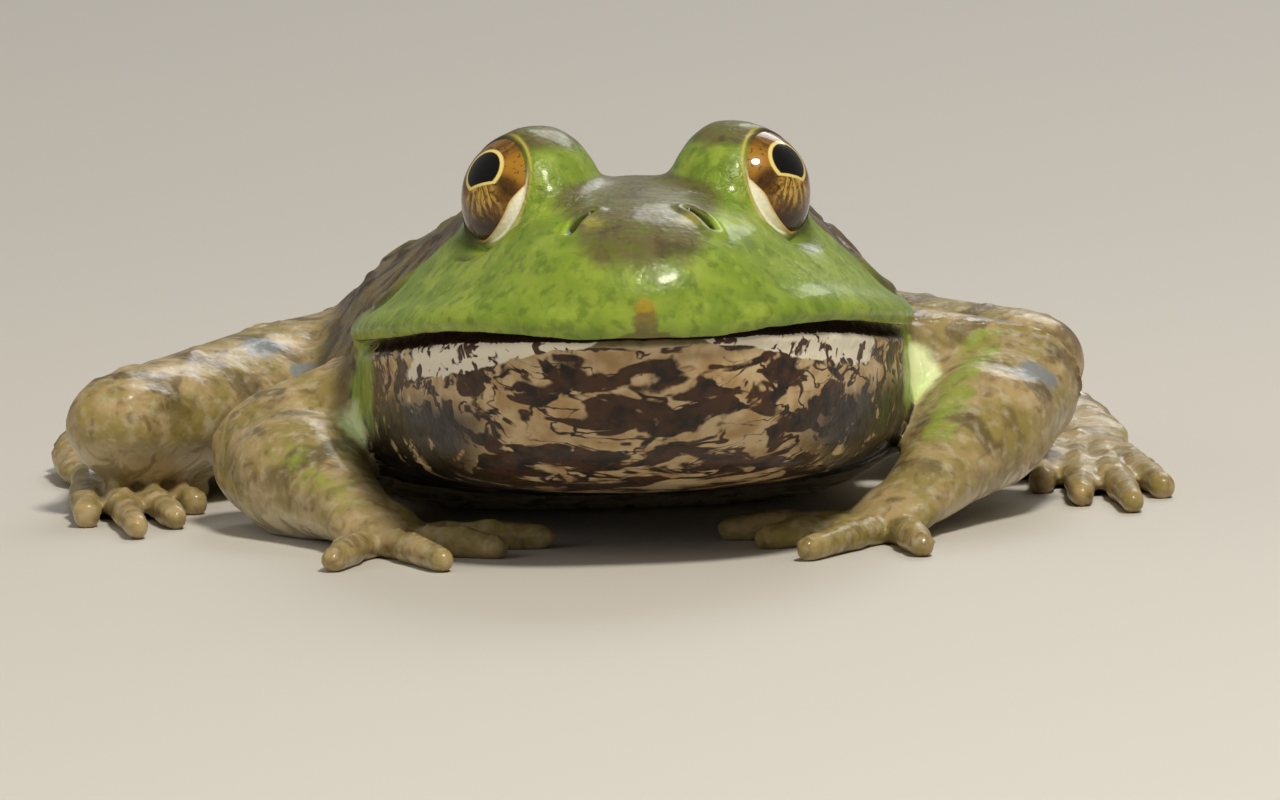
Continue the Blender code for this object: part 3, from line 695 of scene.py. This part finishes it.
def paint_regions(clay, field):
    """The parts of the frog's pattern, each a value from 0 to 1 at every point of the skin."""
    here = Survey(clay, field)
    regions = {**green_and_crown(here), **mouth_regions(here), **limb_regions(here)}
    for make in (eye_regions, face_regions):
        left, right = (make(clay.points, side) for side in SIDES)
        regions.update({name: np.maximum(left[name], right[name]) for name in left})
    off_spot = np.linalg.norm(clay.points - (0, SNOUT_Y, SNOUT_SPOT_HEIGHT), axis=1)
    regions["snout_spot"] = 1 - smooth_step(off_spot, 0.2, 2.3)
    return regions


# ---------------------------------------- painting

class Paint:
    """A material whose nodes are made by short calls that give back the socket with their result."""

    def __init__(self, name):
        self.material = bpy.data.materials.new(name)
        self.material.use_nodes = True
        self.nodes = self.material.node_tree.nodes
        self.shader = self.nodes["Principled BSDF"]
        metres = self.nodes.new("ShaderNodeTexCoord").outputs["Object"]
        self.place = self.vector("SCALE", metres, scale=1 / MM)

    def put(self, socket, value):
        if isinstance(value, bpy.types.NodeSocket):
            self.material.node_tree.links.new(value, socket)
        elif isinstance(value, tuple) and socket.type == "RGBA":
            socket.default_value = (*value, 1.0)
        else:
            socket.default_value = value

    def vector(self, operation, a, b=None, scale=None):
        node = self.nodes.new("ShaderNodeVectorMath")
        node.operation = operation
        self.put(node.inputs[0], a)
        if b is not None:
            self.put(node.inputs[1], b)
        if scale is not None:
            self.put(node.inputs["Scale"], scale)
        return node.outputs[0]

    def math(self, operation, a, b=0.0, c=0.0):
        node = self.nodes.new("ShaderNodeMath")
        node.operation = operation
        for socket, value in zip(node.inputs, (a, b, c)):
            self.put(socket, value)
        return node.outputs[0]

    def add(self, a, b):
        return self.math("ADD", a, b)

    def times(self, a, b):
        return self.math("MULTIPLY", a, b)

    def ramp(self, value, low, high, start=0.0, end=1.0):
        node = self.nodes.new("ShaderNodeMapRange")
        node.interpolation_type = "SMOOTHSTEP"
        for socket, number in zip(node.inputs, (value, low, high, start, end)):
            self.put(socket, number)
        return node.outputs[0]

    def mix(self, factor, under, over):
        node = self.nodes.new("ShaderNodeMix")
        node.data_type = "RGBA"
        self.put(node.inputs[0], factor)
        self.put(node.inputs[6], under)
        self.put(node.inputs[7], over)
        return node.outputs[2]

    def region(self, name):
        node = self.nodes.new("ShaderNodeAttribute")
        node.attribute_name = name
        return node.outputs["Fac"]

    def field(self, name):
        node = self.nodes.new("ShaderNodeAttribute")
        node.attribute_name = name
        return node.outputs["Vector"]

    def noise(self, grain, detail=2.0, swirl=0.0, place=None, shift=0.0, roughness=0.5):
        node = self.nodes.new("ShaderNodeTexNoise")
        shifted = self.vector("ADD", place or self.place, (shift, shift * 0.7, -shift))
        self.put(node.inputs["Vector"], shifted)
        self.put(node.inputs["Scale"], 1 / grain)
        self.put(node.inputs["Detail"], detail)
        self.put(node.inputs["Roughness"], roughness)
        self.put(node.inputs["Distortion"], swirl)
        return node.outputs["Fac"]

    def cells(self, grain, place=None, feature="F1", randomness=1.0):
        node = self.nodes.new("ShaderNodeTexVoronoi")
        node.feature = feature
        self.put(node.inputs["Vector"], place or self.place)
        self.put(node.inputs["Scale"], 1 / grain)
        self.put(node.inputs["Randomness"], randomness)
        return node.outputs["Distance"]

    def wobble(self, region, amount, grain, shift=0.0, low=0.4, high=0.6):
        """A region's soft edge, broken up by noise and then sharpened."""
        ragged = self.times(self.add(self.noise(grain, 3, shift=shift), -0.5), amount)
        return self.ramp(self.add(region, ragged), low, high)

    def bump(self, height, distance, strength=1.0, under=None):
        node = self.nodes.new("ShaderNodeBump")
        self.put(node.inputs["Height"], height)
        self.put(node.inputs["Distance"], distance * MM)
        self.put(node.inputs["Strength"], strength)
        if under is not None:
            self.put(node.inputs["Normal"], under)
        return node.outputs[0]

    def finish(self, colour, roughness, normal, wetness):
        self.put(self.shader.inputs["Base Color"], colour)
        self.put(self.shader.inputs["Roughness"], roughness)
        self.put(self.shader.inputs["Normal"], normal)
        for name, value in wetness.items():
            self.shader.inputs[name].default_value = value
        return self.material


def vein(p, place, grain, shift, breadth):
    """Wavering lines along the middle value of a noise, as wide as the breadth says."""
    swing = p.math("ABSOLUTE", p.add(p.noise(grain, 2.5, 0.6, place=place, shift=shift), -0.5))
    return p.ramp(p.math("SUBTRACT", swing, breadth), -0.012, 0.020, 1.0, 0.0)


def throat_colour(p):
    """Cream skin, darkened as painted shade, under a net of wavering dark brown lines, drawn out sideways;
    painted shade blackens the lower sides.
    """
    drawn = p.vector("MULTIPLY", p.place, (0.45, 0.8, 1.1))
    breadth = p.ramp(p.noise(3.0, 2, shift=31, place=drawn), 0.3, 0.7, -0.005, 0.045)
    net = vein(p, drawn, 2.6, 57, breadth)
    islands = p.noise(3.0, 2, 0.7, place=drawn, shift=8, roughness=0.5)
    ragged = p.add(islands, p.times(p.add(p.noise(0.6, 2, shift=9), -0.5), 0.06))
    dark = p.math("MAXIMUM", net, p.ramp(ragged, 0.465, 0.525))
    # Painted shade: the lower sides of the throat go smoky and near black.
    smoky = p.times(p.region("throat_dark"), p.ramp(p.noise(2.8, 3, 0.6, shift=3), 0.33, 0.43))
    dark = p.math("MAXIMUM", dark, smoky)
    cream = p.mix(p.ramp(p.noise(2.4, 2, shift=14), 0.35, 0.7), SHADED_CREAM, CREAM_SHADE)
    brown = p.mix(p.ramp(p.noise(1.7, 2, shift=22), 0.4, 0.7), NET_BROWN, NET_BLACK)
    brown = p.mix(p.region("throat_dark"), brown, NET_BLACK)
    return p.mix(dark, cream, brown)


def trunk_colour(p, belly):
    """Olive brown with dark round-edged blotches, and a pale marbled underside."""
    body = p.mix(p.ramp(p.noise(7.0, 3, 0.4, shift=5), 0.35, 0.65), OLIVE, BROWN)
    body = p.mix(p.times(p.ramp(p.noise(1.1, 3), 0.45, 0.75), 0.55), body, DARK_BROWN)
    blotch = p.ramp(p.noise(6.5, 4, 0.8, shift=40), 0.52, 0.60)
    body = p.mix(p.times(blotch, 0.85), body, BLOTCH)
    return p.mix(p.region("belly"), body, belly)


def limb_colour(p, belly):
    """Tan and olive, with dark bars across the legs, a green strip and grey-blue patches."""
    limb = p.mix(p.ramp(p.noise(4.2, 2, shift=33), 0.38, 0.62), TAN, OLIVE_TAN)
    limb = p.mix(p.times(p.ramp(p.noise(2.3, 3, 1.0, shift=18), 0.45, 0.75), 0.8), limb, BROWN)
    waver = p.times(p.noise(5.0, 1, shift=50), 5.0)
    wave = p.math("SINE", p.add(p.times(p.region("run"), LEG_BAR_PITCH), waver))
    bars = p.times(p.ramp(wave, 0.45, 0.85), p.region("bars"))
    limb = p.mix(p.times(bars, 0.6), limb, DARK_BROWN)
    limb = p.mix(p.times(p.ramp(p.noise(1.5, 3, shift=61), 0.46, 0.78), 0.5), limb, LIMB_PALE)
    limb = p.mix(p.times(p.wobble(p.region("green_patch"), 1.5, 2.0, 2, 0.45, 1.1), 0.7), limb, YELLOW_GREEN)
    limb = p.mix(p.times(p.wobble(p.region("blue_patch"), 1.2, 2.4, 7, 0.40, 0.8), 0.9), limb, BLUE_GREY)
    return p.mix(p.times(p.region("belly"), 0.8), limb, belly)


def green_colour(p):
    """Yellow green with darker specks and lighter dots."""
    green = p.mix(p.ramp(p.noise(5.0, 2, 0.5, shift=70), 0.35, 0.68), GREEN, YELLOW_GREEN)
    green = p.mix(p.times(p.ramp(p.noise(1.5, 4, 0.3, shift=77), 0.48, 0.68), 0.6), green, DEEP_GREEN)
    return p.mix(p.times(p.ramp(p.cells(2.2), 0.10, 0.30, 1.0, 0.0), 0.4), green, LIGHT_GREEN)


def crown_colour(p):
    """Brown grey, for the top of the snout and the domes over the eyes."""
    crown = p.mix(p.ramp(p.noise(2.0, 3, 0.5, shift=81), 0.36, 0.62), CROWN, CROWN_OLIVE)
    return p.mix(p.times(p.ramp(p.noise(2.6, 3, 0.6, shift=84), 0.52, 0.68), 0.6), crown, DARK_BROWN)


def add_face_colours(p, colour, green):
    """The green of the upper jaw, the crown, and the spot and the smudge in the middle of the snout."""
    crown = crown_colour(p)
    face = p.mix(p.wobble(p.region("crown"), 0.9, 1.9, 85, 0.10, 1.0), green, crown)
    colour = p.mix(p.wobble(p.region("green"), 0.25, 1.5, 90, 0.35, 0.65), colour, face)
    colour = p.mix(p.times(p.region("crown"), p.ramp(p.region("green"), 0.5, 0.0)), colour, crown)
    spot = p.times(p.wobble(p.region("snout_spot"), 1.1, 0.7, 91, 0.35, 0.75), 0.75)
    colour = p.mix(spot, colour, ORANGE_BROWN)
    return p.mix(p.times(p.wobble(p.region("lip_centre"), 0.5, 1.0, 95), 0.75), colour, BROWN)


def add_mouth_colours(p, colour, green):
    """The netted throat with painted shade on its lower sides, the pale lower lip, the green corners of the
    jaw, the pale shoulder lumps painted bright as if sunlit, and the mouth's dark crease with painted shadow
    under the upper lip.
    """
    colour = p.mix(p.wobble(p.region("throat"), 0.15, 1.0, 97), colour, throat_colour(p))
    lip = p.mix(p.ramp(p.noise(1.7, 2, 0.8, shift=99), 0.55, 0.60), LIP_WHITE, NET_BROWN)
    colour = p.mix(p.wobble(p.region("lip_pale"), 1.3, 2.2, 101), colour, lip)
    colour = p.mix(p.wobble(p.region("jaw_green"), 1.0, 2.6, 103, 0.3, 0.8), colour, green)
    # The shoulder lumps' own pale green, painted bright to stand for sunlight falling on them.
    colour = p.mix(p.wobble(p.region("pale_lump"), 0.5, 1.8, 105, 0.3, 0.7), colour, LUMP_GREEN_SUNLIT)
    # Painted shadow under the upper lip's overhang, over the crease of the mouth.
    return p.mix(p.wobble(p.region("mouth_line"), 0.4, 1.2, 107), colour, LIP_SHADOW)


def add_ear_colours(p, colour):
    """A painted highlight along the fold over the eardrum and painted shade under it, the drum and its ring,
    and the light ridge on the cheek.
    """
    # Painted highlight on the fold's crest, then painted shade beneath it.
    colour = p.mix(p.times(p.region("ear_fold"), 0.5), colour, OLIVE_TAN)
    colour = p.mix(p.times(p.region("ear_fold_under"), 0.6), colour, BLOTCH)
    drum = p.mix(p.ramp(p.noise(2.2, 2, shift=111), 0.4, 0.62), EARDRUM, DARK_BROWN)
    colour = p.mix(p.times(p.region("eardrum"), 0.9), colour, drum)
    colour = p.mix(p.times(p.region("eardrum_ring"), 0.7), colour, BLOTCH)
    return p.mix(p.times(p.region("cheek_ridge"), 0.75), colour, LIGHT_GREEN)


def add_nostril_and_lid_colours(p, colour):
    inner = p.times(p.wobble(p.region("nostril_inner"), 1.2, 0.8, 115, 0.3, 0.9), 0.65)
    outer = p.times(p.wobble(p.region("nostril_outer"), 0.8, 1.2, 117, 0.3, 0.9), 0.7)
    colour = p.mix(outer, p.mix(inner, colour, YELLOW_BROWN), BRIGHT_GREEN)
    # Painted shade fills the nostril's hole.
    colour = p.mix(p.region("nostril"), colour, NOSTRIL_SHADE)
    colour = p.mix(p.times(p.region("lid_dark"), 0.8), colour, BLOTCH)
    colour = p.mix(p.times(p.region("lid_rim"), 0.8), colour, RIM_YELLOW)
    colour = p.mix(p.region("pale_fold"), colour, p.mix(p.region("fold_foot"), FOLD_WHITE, FOLD_OCHRE))
    return p.mix(p.times(p.region("fold_edge"), 0.9), colour, FOLD_ORANGE)


def skin_relief(p):
    """Fine grains, soft folds that are flatter on the green face, and wrinkles before the eyes."""
    grains = p.add(p.ramp(p.cells(0.75), 0.1, 0.6, 1.0, 0.0), p.times(p.noise(0.5, 2), 0.6))
    normal = p.bump(grains, 0.05, 0.55)
    depth = p.add(0.5, p.times(p.region("green"), -0.35))
    normal = p.bump(p.noise(2.6, 3, 0.6, shift=120), 0.35, depth, normal)
    return p.bump(p.noise(1.0, 2, 0.8, shift=125), 0.6, p.times(p.region("wrinkles"), 0.8), normal)


def skin_paint():
    p = Paint("bullfrog_skin")
    marbled = p.times(p.ramp(p.noise(3.6, 3, 0.9, shift=12), 0.5, 0.58), 0.75)
    belly = p.mix(marbled, BELLY, BELLY_MARK)
    colour = p.mix(p.region("limb"), trunk_colour(p, belly), limb_colour(p, belly))
    green = green_colour(p)
    colour = add_face_colours(p, colour, green)
    colour = add_mouth_colours(p, colour, green)
    colour = add_ear_colours(p, colour)
    colour = add_nostril_and_lid_colours(p, colour)
    roughness = p.ramp(p.noise(1.4, 3, shift=130), 0.3, 0.75, 0.30, 0.52)
    return p.finish(colour, roughness, skin_relief(p), SKIN_WETNESS)


def eye_paint():
    """A black pupil with a gold ring, in a streaked orange and brown iris, under a wet clear surface."""
    p = Paint("bullfrog_eye")
    gaze = p.field("gaze")
    split = p.nodes.new("ShaderNodeSeparateXYZ")
    p.put(split.inputs[0], gaze)
    front, above = split.outputs[0], split.outputs[1]
    across, tall = p.times(front, 1 / PUPIL_HALF_WIDTH), p.times(above, 1 / PUPIL_HALF_HEIGHT)
    oval = p.math("SQRT", p.add(p.times(across, across), p.times(tall, tall)))
    beside, below = (p.times(way, slope) for way, slope in zip((front, above), PUPIL_FLAT_SLOPE))
    flat = p.times(p.math("SUBTRACT", beside, below), 1 / PUPIL_FLAT)
    pupil = p.math("MAXIMUM", oval, flat)
    radius = p.math("SQRT", p.add(p.times(front, front), p.times(above, above)))
    angle = p.math("ARCTAN2", above, front)
    spokes = p.nodes.new("ShaderNodeCombineXYZ")
    p.put(spokes.inputs[0], p.times(angle, 5.0))
    p.put(spokes.inputs[1], p.times(radius, 0.5))
    streak = p.noise(1.0, 4, 0.6, place=spokes.outputs[0], roughness=0.65)
    specks = p.noise(0.45, 3, shift=4)

    def spot(u, v, low, high):
        """A round patch u beside and v above the pupil's middle, full up to low and gone at high."""
        du, dv = p.add(front, -u), p.add(above, -v)
        return p.ramp(p.math("SQRT", p.add(p.times(du, du), p.times(dv, dv))), low, high, 1.0, 0.0)

    iris = p.mix(p.ramp(streak, 0.35, 0.7), IRIS_BROWN, IRIS_ORANGE)
    iris = p.mix(p.times(spot(3.9, 1.2, 1.0, 2.6), 0.75), iris, IRIS_BRIGHT)
    iris = p.mix(p.times(spot(3.4, -1.1, 0.5, 1.6), 0.75), iris, IRIS_DARK)
    gold = p.times(spot(0.5, -3.1, 1.3, 3.1), p.ramp(streak, 0.42, 0.60))
    iris = p.mix(p.times(gold, 0.8), iris, IRIS_GOLD)
    iris = p.mix(p.times(p.ramp(specks, 0.56, 0.66), 0.7), iris, IRIS_DARK)
    iris = p.mix(p.ramp(above, -3.6, -5.2), iris, IRIS_DARK)
    iris = p.mix(p.ramp(radius, 4.6, 6.0), iris, IRIS_DARK)
    ring = p.times(p.ramp(pupil, 1.0, 1.05), p.ramp(pupil, 1.16, 1.24, 1.0, 0.0))
    iris = p.mix(ring, iris, RING_GOLD)
    colour = p.mix(p.ramp(pupil, 0.98, 1.03, 1.0, 0.0), iris, PUPIL_BLACK)
    normal = p.bump(streak, 0.05, 0.25)
    rough = p.ramp(specks, 0.3, 0.7, 0.22, 0.34)
    return p.finish(colour, rough, normal, EYE_WETNESS)


# ---------------------------------------- eyeballs

def add_eyeball(side, paint):
    """A ball with a slightly raised cornea, whose poles lie on the line of sight."""
    axis = Vector(facing(side, PUPIL_TURN, PUPIL_LIFT))
    level = Vector((0, 0, 1)).cross(axis).normalized() * -SIDES[side]
    upward = axis.cross(level) * -SIDES[side]
    bm = bmesh.new()
    bmesh.ops.create_uvsphere(bm, u_segments=96, v_segments=80, radius=1)
    rows = Matrix((level, upward, axis))
    for vert in bm.verts:
        local = vert.co.copy()
        bulge = CORNEA_RISE * max(0, 1 - (1 - local.z) / CORNEA_CAP) ** 1.5
        vert.co = (rows.transposed() @ local) * (EYE_RADIUS + bulge) * MM + Vector(EYE_CENTRES[side]) * MM
    if rows.determinant() < 0:
        bmesh.ops.reverse_faces(bm, faces=bm.faces)
    mesh = bpy.data.meshes.new(f"eyeball_{side}")
    bm.to_mesh(mesh)
    bm.free()
    gaze = mesh.attributes.new("gaze", "FLOAT_VECTOR", "POINT")
    values = []
    for vert in mesh.vertices:
        offset = vert.co / MM - Vector(EYE_CENTRES[side])
        values.extend(rows @ offset)
    gaze.data.foreach_set("vector", values)
    mesh.shade_smooth()
    mesh.materials.append(paint)
    ball = bpy.data.objects.new(f"eyeball_{side}", mesh)
    bpy.context.scene.collection.objects.link(ball)
    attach(ball, "root")
    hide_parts(f"eye_{side}")


# ---------------------------------------- the skin, step by step

def model_clay(skin):
    """From the rough blank to the finished shape, with all its lids, lips, folds and warts."""
    clay = Clay(skin.data)
    owner, _ = nearest(clay.points, *ALL_NODES)
    blur = clay.smooth(np.array([SMOOTHING[kind_of(name)] for name in owner]), 12)
    # One full round of smoothing spreads the shape by a variance of half a voxel squared.
    rounds = int(round(LONGEST_BLUR**2 / (0.5 * VOXEL**2)))
    clay.points = clay.smooth(clay.points, rounds, (blur / LONGEST_BLUR) ** 2)
    clay.store()
    for reach in FINE_REACHES:
        refine(skin.data, fine_places(clay, reach))
        clay = Clay(skin.data)
    shape_mouth(clay, mouth_field(clay))
    shape_face(clay)
    shape_back(clay)
    shape_knuckles(clay)
    shape_lids(clay)
    hollow_round_lids(clay)
    clay.points[:, 2] = clay.points[:, 2].clip(0)
    clay.store()
    return clay


def fine_places(clay, reach):
    """Points near the lids and nostrils, and for the longer reach also near the mouth."""
    chosen = np.zeros(len(clay.points), bool)
    for side in SIDES:
        radius, _, lid, fold = eye_fields(clay.points, side)
        by_lid = (np.abs(lid - 0.3) < reach) & (lid > -0.9)
        by_fold = (lid < 0) & (np.abs(fold) < 0.4 * reach)
        chosen |= (radius < LID_ZONE) & (by_lid | by_fold)
        slit, _ = distance_to_path(clay.points, path_on(side, NOSTRIL_SLIT))
        chosen |= slit < 1.1 * reach
    if reach == max(FINE_REACHES):
        chosen |= np.abs(mouth_field(clay) + 0.4) < 1.9
    return chosen


def hollow_round_lids(clay):
    """Evens out the skin in a ring just outside the lids."""
    ring = np.zeros(len(clay.points))
    for side in SIDES:
        radius, _, lid, _ = eye_fields(clay.points, side)
        beside = smooth_step(lid, 0.8, 1.5) * (1 - smooth_step(lid, 4.0, 6.0))
        ring = np.maximum(ring, beside * (radius < LID_RING_ZONE))
    clay.points = clay.smooth(clay.points, 10, 0.6 * ring)


def thin_skin(skin, clay):
    """Larger triangles where the skin is plain, and never more than the most allowed."""
    owner, _ = nearest(clay.points, *ALL_NODES)
    mark_zones(skin, clay, np.array([kind_of(name) for name in owner]))
    for name in ZONE_GRAIN:
        thin_zone(skin, name)
    skin.vertex_groups.clear()
    triangles = sum(len(face.vertices) - 2 for face in skin.data.polygons)
    if triangles > MOST_TRIANGLES:
        modifier = skin.modifiers.new("thin", "DECIMATE")
        modifier.ratio = MOST_TRIANGLES / triangles
        apply_modifiers(skin)


def add_skin():
    skin = clay_blank()
    remesh(skin)
    thin_skin(skin, model_clay(skin))
    clay = Clay(skin.data)
    for name, values in paint_regions(clay, mouth_field(clay)).items():
        attribute = skin.data.attributes.new(name, "FLOAT", "POINT")
        attribute.data.foreach_set("value", np.asarray(values, np.float32))
    skin.data.materials.clear()
    skin.data.materials.append(skin_paint())
    skin.data.shade_smooth()
    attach(skin, "root")
    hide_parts(*FLESH)


# ---------------------------------------- floor, light, camera

def add_floor():
    bm = bmesh.new()
    bmesh.ops.create_grid(bm, x_segments=1, y_segments=1, size=FLOOR_HALF_WIDTH)
    mesh = bpy.data.meshes.new("floor")
    bm.to_mesh(mesh)
    bm.free()
    floor = bpy.data.objects.new("floor", mesh)
    bpy.context.scene.collection.objects.link(floor)
    material = bpy.data.materials.new("pale_floor")
    material.use_nodes = True
    shader = material.node_tree.nodes["Principled BSDF"]
    shader.inputs["Base Color"].default_value = (*FLOOR_COLOUR, 1)
    shader.inputs["Roughness"].default_value = 0.6
    mesh.materials.append(material)


def add_softbox(name, place, target, size, power, colour=(1, 1, 1), mirrored=True):
    """A round lamp of a size in metres and a power in watts, turned to its target."""
    lamp = bpy.data.lights.new(name, "AREA")
    lamp.shape = "DISK"
    lamp.size = size
    lamp.energy = power
    lamp.color = colour
    box = bpy.data.objects.new(name, lamp)
    box.location = place
    box.visible_glossy = mirrored
    box.rotation_euler = (Vector(target) - Vector(place)).to_track_quat("-Z", "Y").to_euler()
    bpy.context.scene.collection.objects.link(box)


def add_sky():
    world = bpy.data.worlds.new("studio")
    world.use_nodes = True
    background = world.node_tree.nodes["Background"]
    background.inputs["Color"].default_value = (*SKY_COLOUR, 1)
    background.inputs["Strength"].default_value = SKY_STRENGTH
    bpy.context.scene.world = world


def add_camera():
    elevation, yaw = math.radians(CAMERA_ELEVATION), math.radians(CAMERA_YAW)
    target = Vector((CAMERA_ASIDE, SNOUT_Y * MM, CAMERA_AIM_HEIGHT))
    level = math.cos(elevation)
    back = Vector((-math.sin(yaw) * level, -math.cos(yaw) * level, math.sin(elevation)))
    data = bpy.data.cameras.new("camera")
    data.sensor_width = 36
    data.lens = data.sensor_width * CAMERA_DISTANCE / VIEW_WIDTH
    data.clip_start = 0.01
    camera = bpy.data.objects.new("camera", data)
    camera.location = target + back * CAMERA_DISTANCE
    roll = Matrix.Rotation(-math.radians(CAMERA_ROLL), 3, "Z")
    turn = back.to_track_quat("Z", "Y").to_matrix() @ roll
    camera.rotation_euler = turn.to_euler()
    bpy.context.scene.collection.objects.link(camera)
    bpy.context.scene.camera = camera


add_skin()
eye_material = eye_paint()
for side in SIDES:
    add_eyeball(side, eye_material)
add_floor()
add_softbox("key_light", (0.26, -0.60, 1.02), FROG_MIDDLE, 0.24, 11.5, (1.0, 0.93, 0.80))
add_softbox("fill_light", (-0.9, -0.5, 0.4), FROG_MIDDLE, 0.9, 2.0, (1.0, 0.96, 0.9), mirrored=False)
add_softbox("rim_light", (0.3, 0.9, 0.7), (0, 0, 0.02), 0.6, 3)
add_sky()
bpy.context.scene.view_settings.view_transform = "Standard"
add_camera()
